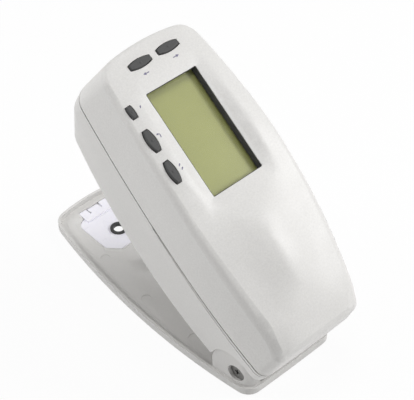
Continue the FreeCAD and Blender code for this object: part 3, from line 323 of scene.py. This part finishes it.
# %% [markdown]
# ## Metals
# The screws, the springs and the motor's can are turned, wound or drawn, and the tool leaves fine
# marks, so they are never plain mirrors. The marks could be painted on as a picture. Noise stretched
# a long way in one direction gives the same brushed lines at any size, and a slow noise gives the
# faint stain of handling.

# %% Metals
TOOL_MARK = 0.4 * MM
MARK_DEPTH = 0.01 * MM
STAIN = 4.0 * MM
METAL_REACH = 22
EVENLY = (1.0, 1.0, 1.0)
ALONG_X = (0.08, 1.0, 1.0)


def metal(name, level, warm, rough, brush=EVENLY):
    """A metal: brush is small along the axis that its marks run along."""
    f = Finish(name)
    mapping = {"Vector": f.place(), "Scale": brush}
    stretched = f.add("Mapping", {"vector_type": "POINT"}, mapping, out="Vector")
    lines = f.noise(TOOL_MARK, 3.0, 0.6, stretched)
    stain = f.noise(STAIN, 3.0)
    tone = (lines - 0.5) * 0.3 + (stain - 0.5) * 0.3 + 0.5
    return f.surface(
        Base_Color=f.mix(tone.clipped(), shade(level - METAL_REACH, warm), shade(level + METAL_REACH, warm)),
        Metallic=1.0,
        Roughness=(stain - 0.5) * 0.15 + (lines - 0.5) * 0.2 + rough,
        Normal=f.bump(lines, MARK_DEPTH, 0.5),
    )


finishes["screw_steel"] = metal("blackened screws", 118, 3, 0.42)
finishes["spring_steel"] = metal("spring wire", 150, 2, 0.3)
finishes["dome_steel"] = metal("stainless domes", 200, 2, 0.25)
finishes["bridge_aluminium"] = metal("brushed aluminium", 205, 0, 0.35, ALONG_X)
finishes["motor_can"] = metal("motor can", 190, 2, 0.28, ALONG_X)
finishes["contact_nickel"] = metal("nickel contacts", 205, 10, 0.25)
print("finishes with metals:", len(finishes))

# %% [markdown]
# ## The target window
# The window in the shoe is a milky plate with a hole that goes over the patch to be read. It could be
# plain white, but light goes a little way into such a plate and comes out beside where it went in.
# Subsurface scattering does that, and makes its edges soft.

# %% Target window
WINDOW_DARK = (0.84, 0.83, 0.9)
WINDOW_PALE = (0.9, 0.89, 0.95)
SCATTER = (2.0 * MM, 2.0 * MM, 2.2 * MM)


def milky_window():
    f = Finish("milky target window")
    clouds = f.noise(8.0 * MM, 3.0)
    grain = f.noise(0.3 * MM, 2.0)
    tone = (clouds - 0.5) * 0.4 + 0.5
    return f.surface(
        Base_Color=f.mix(tone.clipped(), WINDOW_DARK, WINDOW_PALE),
        Roughness=(clouds - 0.5) * 0.2 + 0.3,
        Subsurface_Weight=0.25,
        Subsurface_Radius=SCATTER,
        Normal=f.bump(grain, 0.01 * MM, 0.4),
    )


finishes["window_plastic"] = milky_window()
print("the window scatters over", round(max(SCATTER) / MM, 1), "mm")

# %% [markdown]
# ## Glass
# The filters, the lamps and the lens are small solid pieces of glass that light bends through. The
# pane over the display is thin and flat. Made the same way, it would throw a dark shadow on the
# display behind it, so it is a clear shader mixed with gloss, and the gloss takes a larger share
# where the pane is seen at a low angle.

# %% Glass
GLASS_BEND = 1.46
LENS_BEND = 1.52
WHITE = (1.0, 1.0, 1.0)
COATING_BLUE = (0.9, 0.92, 1.0)
COATING_RED = (1.0, 0.95, 0.95)


def clear(name, tint, rough):
    """A solid clear piece, with a smear of dust that dims and dulls it a little."""
    f = Finish(name)
    smear = f.noise(7.0 * MM, 4.0, 0.6)
    return f.surface(
        Base_Color=f.mix(smear, tint, tuple(0.97 * v for v in tint)),
        Roughness=smear * 0.05 + rough,
        Transmission_Weight=1.0,
        IOR=GLASS_BEND,
    )


def thin_pane(name, tint):
    """A flat pane that lets lamps shine straight through it, with gloss by the Fresnel rule."""
    f = Finish(name)
    smear = f.noise(9.0 * MM, 4.0, 0.6)
    through = f.add("BsdfTransparent", None, {"Color": tint})
    gloss = f.add("BsdfGlossy", None, {"Color": WHITE, "Roughness": smear * 0.08 + 0.04})
    share = f.add("Fresnel", None, {"IOR": GLASS_BEND}) * (1.0 - smear * 0.2)
    return f.show(f.add("MixShader", None, {0: share, 1: through, 2: gloss}))


def lens_coating():
    """Lens glass with a thin coating, which tints what it mirrors."""
    f = Finish("coated lens")
    bloom = f.noise(3.0 * MM, 2.0)
    return f.surface(
        Base_Color=f.mix(bloom, COATING_BLUE, COATING_RED),
        Roughness=bloom * 0.02 + 0.02,
        Transmission_Weight=1.0,
        IOR=LENS_BEND,
        Coat_Weight=0.3,
    )


finishes["window_clear"] = thin_pane("clear display window", (0.97, 0.975, 0.965))
finishes["filter_glass"] = clear("filter glass", (0.75, 0.45, 0.5), 0.02)
finishes["lamp_glass"] = clear("lamp glass", (0.98, 0.98, 0.95), 0.01)
finishes["lens_glass"] = lens_coating()
print("finishes with glass:", len(finishes))

# %% [markdown]
# ## The display
# The display is a reflective liquid crystal: an olive film behind the pane, with a faint ruled grid
# from its electrodes. The grid could be cut into the mesh, but it is far too fine for that. Two sine
# waves, one across and one along, are multiplied into a grid in the colour alone.

# %% Display
OLIVE_DARK = (0.465, 0.478, 0.176)
OLIVE_PALE = (0.628, 0.637, 0.254)
GRID_CELL = 0.55 * MM


def display_film():
    f = Finish("olive display film")
    where = {"Vector": f.place()}
    across = f.add("SeparateXYZ", None, where, out="X")
    along = f.add("SeparateXYZ", None, where, out="Y")
    turns = 2 * math.pi / GRID_CELL
    rows = f.add("Math", {"operation": "SINE"}, {0: along * turns})
    grid = f.add("Math", {"operation": "SINE"}, {0: across * turns}) * rows
    clouds = f.noise(20.0 * MM, 2.0)
    specks = f.noise(0.5 * MM, 2.0)
    tone = grid * 0.06 + (clouds - 0.5) * 0.4 + (specks - 0.5) * 0.12 + 0.5
    return f.surface(
        Base_Color=f.mix(tone.clipped(), OLIVE_DARK, OLIVE_PALE),
        Roughness=clouds * 0.1 + 0.35,
        Specular_IOR_Level=0.4,
    )


finishes["lcd_green"] = display_film()
print("grid of the display:", round(GRID_CELL / MM, 2), "mm")

# %% [markdown]
# ## Circuit boards
# A board is a woven glass cloth in resin under green lacquer. Its tracks could be modelled, but they
# lie inside the closed case. The weave is a fine noise in the colour and the bump, and a thin coat
# stands for the lacquer.

# %% Circuit boards
BOARD_DARK = (0.012, 0.09, 0.035)
BOARD_PALE = (0.03, 0.17, 0.06)


def circuit(name):
    f = Finish(name)
    weave = f.noise(0.4 * MM, 2.0)
    clouds = f.noise(9.0 * MM, 3.0)
    tone = (weave - 0.5) * 0.3 + (clouds - 0.5) * 0.5 + 0.5
    return f.surface(
        Base_Color=f.mix(tone.clipped(), BOARD_DARK, BOARD_PALE),
        Roughness=clouds * 0.15 + 0.3,
        Coat_Weight=0.3,
        Normal=f.bump(weave, 0.02 * MM, 0.5),
    )


finishes["circuit_board"] = circuit("green circuit board")
print("finishes in all:", len(finishes))

# %% [markdown]
# ## Dressing the solids
# Each solid arrives with a plain material that is named after what the piece is made of. The finishes
# could be given out solid by solid. Looking them up by that name is shorter, and a name without
# a finish stops the script at once.

# %% Dress the solids
for name, solid in nodes.items():
    slot_name = solid.data.materials[0].name.split(".")[0]
    solid.data.materials[0] = finishes[slot_name]
print("dressed", len(nodes), "solids")

# %% [markdown]
# ## The ink of the signs
# Beside each key the cover carries a small sign in violet-grey ink: an arrow for each nose key, and
# a bar, a hook and a pair of bars for the side keys. Ink could be a colour in the cover's material,
# but then its edge would need a mask. Here each sign is a thin piece of its own, in a satin ink that
# lies a little unevenly.

# %% Ink
INK_DARK = (0.13, 0.12, 0.2)
INK_PALE = (0.2, 0.19, 0.29)


def ink(name):
    f = Finish(name)
    cover = f.noise(0.3 * MM, 3.0, 0.7)
    return f.surface(
        Base_Color=f.mix(cover, INK_DARK, INK_PALE),
        Roughness=cover * 0.15 + 0.45,
        Normal=f.bump(cover, 0.01 * MM, 0.4),
    )


sign_ink = ink("violet ink")
print("ink:", sign_ink.name)

# %% [markdown]
# ## Drawing a sign
# A sign could be cut out of a larger plate. It is drawn with extrusions instead, as a pen would draw
# it: a little square is the start, and its free edge is pulled on, turned and widened for each
# stroke. So a sign is a short list of strokes, and its width is the width of the pen.

# %% Draw a strip
INK_WIDTH = 0.5 * MM


def drawn_strip(name, strokes):
    """Ink pulled along strokes. Each one is a length, a turn in degrees and the width at its end."""
    bpy.ops.object.select_all(action="DESELECT")
    bpy.ops.mesh.primitive_plane_add(size=INK_WIDTH)
    strip = bpy.context.active_object
    strip.name = name
    bpy.ops.object.mode_set(mode="EDIT")
    bpy.ops.mesh.select_mode(type="EDGE")
    bpy.ops.mesh.select_all(action="DESELECT")
    shape = bmesh.from_edit_mesh(strip.data)
    for edge in shape.edges:
        edge.select_set(all(corner.co.x > 0 for corner in edge.verts))
    bmesh.update_edit_mesh(strip.data)
    at = Vector((INK_WIDTH / 2, 0.0, 0.0))
    heading = 0.0
    width = INK_WIDTH
    for length, turn, end_width in strokes:
        heading += math.radians(turn)
        step = Vector((math.cos(heading), math.sin(heading), 0.0)) * length
        bpy.ops.mesh.extrude_region_move(TRANSFORM_OT_translate={"value": step})
        at += step
        bpy.ops.transform.rotate(value=-math.radians(turn), orient_axis="Z", center_override=at)
        bpy.ops.transform.resize(value=(end_width / width,) * 3, center_override=at)
        width = end_width
    bpy.ops.object.mode_set(mode="OBJECT")
    return strip


print("the pen is", round(INK_WIDTH / MM, 2), "mm wide")

# %% [markdown]
# ## Laying a sign on the deck
# The cover's deck is curved and stands open at an angle, so a flat strip set down by hand would sink
# into it or hover. Its place is given over the closed cover, where the deck is nearly level, and then
# swung open with the cover about the hinge. From there Shrinkwrap drops it onto the deck, and
# Solidify gives it the thickness of the ink.

# %% Lay it on the deck
INK_HEIGHT = 0.05 * MM
INK_GAP = 0.01 * MM
ABOVE_COVER = 110.0 * MM
OPEN_DEG = 32.7
hinge = next(joint for joint in frame["joints"] if joint["name"] == "instrument_hinge")
HINGE = Vector(hinge["pos_m"])
opened = Matrix.Rotation(math.radians(OPEN_DEG), 4, "X")
SWUNG = Matrix.Translation(HINGE) @ opened @ Matrix.Translation(-HINGE)


def lay_on_deck(strip, x, y, heading_deg):
    """Carry a strip to its place over the closed cover, swing it with the cover, and drop it."""
    over = Vector((x * MM, y * MM, ABOVE_COVER))
    heading = Matrix.Rotation(math.radians(heading_deg), 4, "Z")
    strip.matrix_world = SWUNG @ Matrix.Translation(over) @ heading
    drop = strip.modifiers.new("drop onto the deck", "SHRINKWRAP")
    drop.target = nodes["top_cover"]
    drop.wrap_method = "PROJECT"
    drop.wrap_mode = "ABOVE_SURFACE"
    drop.use_project_z = True
    drop.use_negative_direction = True
    drop.use_positive_direction = False
    drop.offset = INK_GAP
    thick = strip.modifiers.new("thickness of the ink", "SOLIDIFY")
    thick.thickness = INK_HEIGHT
    thick.offset = 1.0
    for name in (drop.name, thick.name):
        bpy.ops.object.modifier_apply(modifier=name)
    bpy.ops.object.transform_apply(location=True, rotation=True, scale=True)
    strip.data.materials.append(sign_ink)
    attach(strip, "instrument")
    return strip


print("the cover stands open by", OPEN_DEG, "degrees")

# %% [markdown]
# ## The signs themselves
# Each sign is a few strokes of the pen: an arrow is a shaft that opens into a head and closes to
# a point. The places are in millimetres on the closed cover, and the heading turns the first stroke
# away from the X axis.

# %% The signs
HEAD_WIDTH = 1.7 * MM
HOOK_HEAD_WIDTH = 1.3 * MM
BAR_WIDTH = 0.8 * MM
OPENING = 0.1 * MM
POINT = 0.12 * MM
ARROW = [(1.6 * MM, 0.0, INK_WIDTH), (OPENING, 0.0, HEAD_WIDTH), (1.7 * MM, 0.0, POINT)]
HOOK = [
    (1.1 * MM, 0.0, INK_WIDTH),
    (0.6 * MM, 35.0, INK_WIDTH),
    (0.6 * MM, 45.0, INK_WIDTH),
    (OPENING, 25.0, HOOK_HEAD_WIDTH),
    (1.0 * MM, 0.0, POINT),
]
BAR = [(0.35 * MM, 0.0, BAR_WIDTH), (0.4 * MM, 0.0, BAR_WIDTH), (0.35 * MM, 0.0, 0.35 * MM)]
signs = [
    ("sign_left_key", ARROW, -8.7, 74.7, 180.0),
    ("sign_right_key", ARROW, 8.8, 74.8, 0.0),
    ("sign_short_key", BAR, -25.3, 60.4, 60.0),
    ("sign_upper_key", HOOK, -25.2, 41.7, 80.0),
    ("sign_lower_key_near", BAR, -26.1, 23.7, 45.0),
    ("sign_lower_key_far", BAR, -25.8, 21.4, 45.0),
]
for name, strokes, x, y, heading_deg in signs:
    sign = lay_on_deck(drawn_strip(name, strokes), x, y, heading_deg)
    print(name, "has", len(sign.data.polygons), "faces")

# %% [markdown]
# ## The paper floor
# A product is shown on white paper. More light would make any paper white, but it would bleach the
# object too. So the paper keeps its own pale colour for the light that falls on it, and is lifted to
# white only where it is looked at, straight on or in a reflection. A little of its own shade is left,
# and that carries the object's shadow.

# %% Paper floor
FLOOR_WIDTH = 6.0
PAPER_LIFT = 0.93
PAPER_DARK = (0.86, 0.86, 0.86)
PAPER_PALE = (0.9, 0.9, 0.9)


def paper_floor():
    f = Finish("white paper")
    fibres = f.noise(1.2 * MM, 3.0)
    paper = f.add("BsdfDiffuse", None, {"Color": f.mix(fibres, PAPER_DARK, PAPER_PALE)})
    white = f.add("Emission", None, {"Color": WHITE, "Strength": 1.0})
    return f.show(f.add("MixShader", None, {0: f.seen() * PAPER_LIFT, 1: paper, 2: white}))


bpy.ops.object.select_all(action="DESELECT")
bpy.ops.mesh.primitive_plane_add(size=FLOOR_WIDTH, location=(0.0, 0.0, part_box("shoe_pads")[0].z))
floor = bpy.context.active_object
floor.name = "floor"
floor.data.materials.append(paper_floor())
print("the floor lies at", round(floor.location.z / MM, 2), "mm")

# %% [markdown]
# ## The room
# A studio's pale walls send a little light from all round, which keeps the shadows open. Lamps on
# every side could do that, but each would add a highlight of its own. The world gives it instead, at
# a low level for light that falls on the object and at full strength where it is looked at.

# %% The room
WORLD_LEVEL = 0.31
WALL_GREY = (0.8, 0.8, 0.8)
room = Finish("studio", bpy.data.worlds, "OutputWorld")
wall_strength = room.seen() * (1.0 - WORLD_LEVEL) + WORLD_LEVEL
walls = room.add("Background", None, {"Color": WALL_GREY, "Strength": wall_strength})
bpy.context.scene.world = room.show(walls)
print("light from all round:", WORLD_LEVEL)

# %% [markdown]
# ## The lamps
# Four round soft boxes stand about the object. One large lamp would do for a flat thing, but this one
# has a left flank, a nose and a deck that all need their own level. Each lamp is turned towards the
# middle of the object with a track quaternion, as no constraint is then needed.

# %% Lamps
LIT = Vector((0.0, 0.0, 0.07))
lamps = [
    ("key light from the tail", (0.9, -0.8, 0.8), 0.6, 12.2),
    ("overhead light", (0.0, 0.0, 1.4), 0.7, 5.2),
    ("fill light from the nose", (-0.75, 0.9, 0.8), 0.6, 7.2),
    ("light on the left flank", (-1.2, 0.0, 0.6), 0.6, 0.8),
]


def soft_box(name, place, width, watts):
    """A round lamp of that width, in metres, that looks at the middle of the object."""
    light = bpy.data.lights.new(name, "AREA")
    light.shape = "DISK"
    light.size = width
    light.energy = watts
    lamp = bpy.data.objects.new(name, light)
    bpy.context.scene.collection.objects.link(lamp)
    lamp.location = Vector(place)
    lamp.rotation_euler = (LIT - lamp.location).to_track_quat("-Z", "Y").to_euler()


for name, place, width, watts in lamps:
    soft_box(name, place, width, watts)
    print(name, "gives", watts, "W")
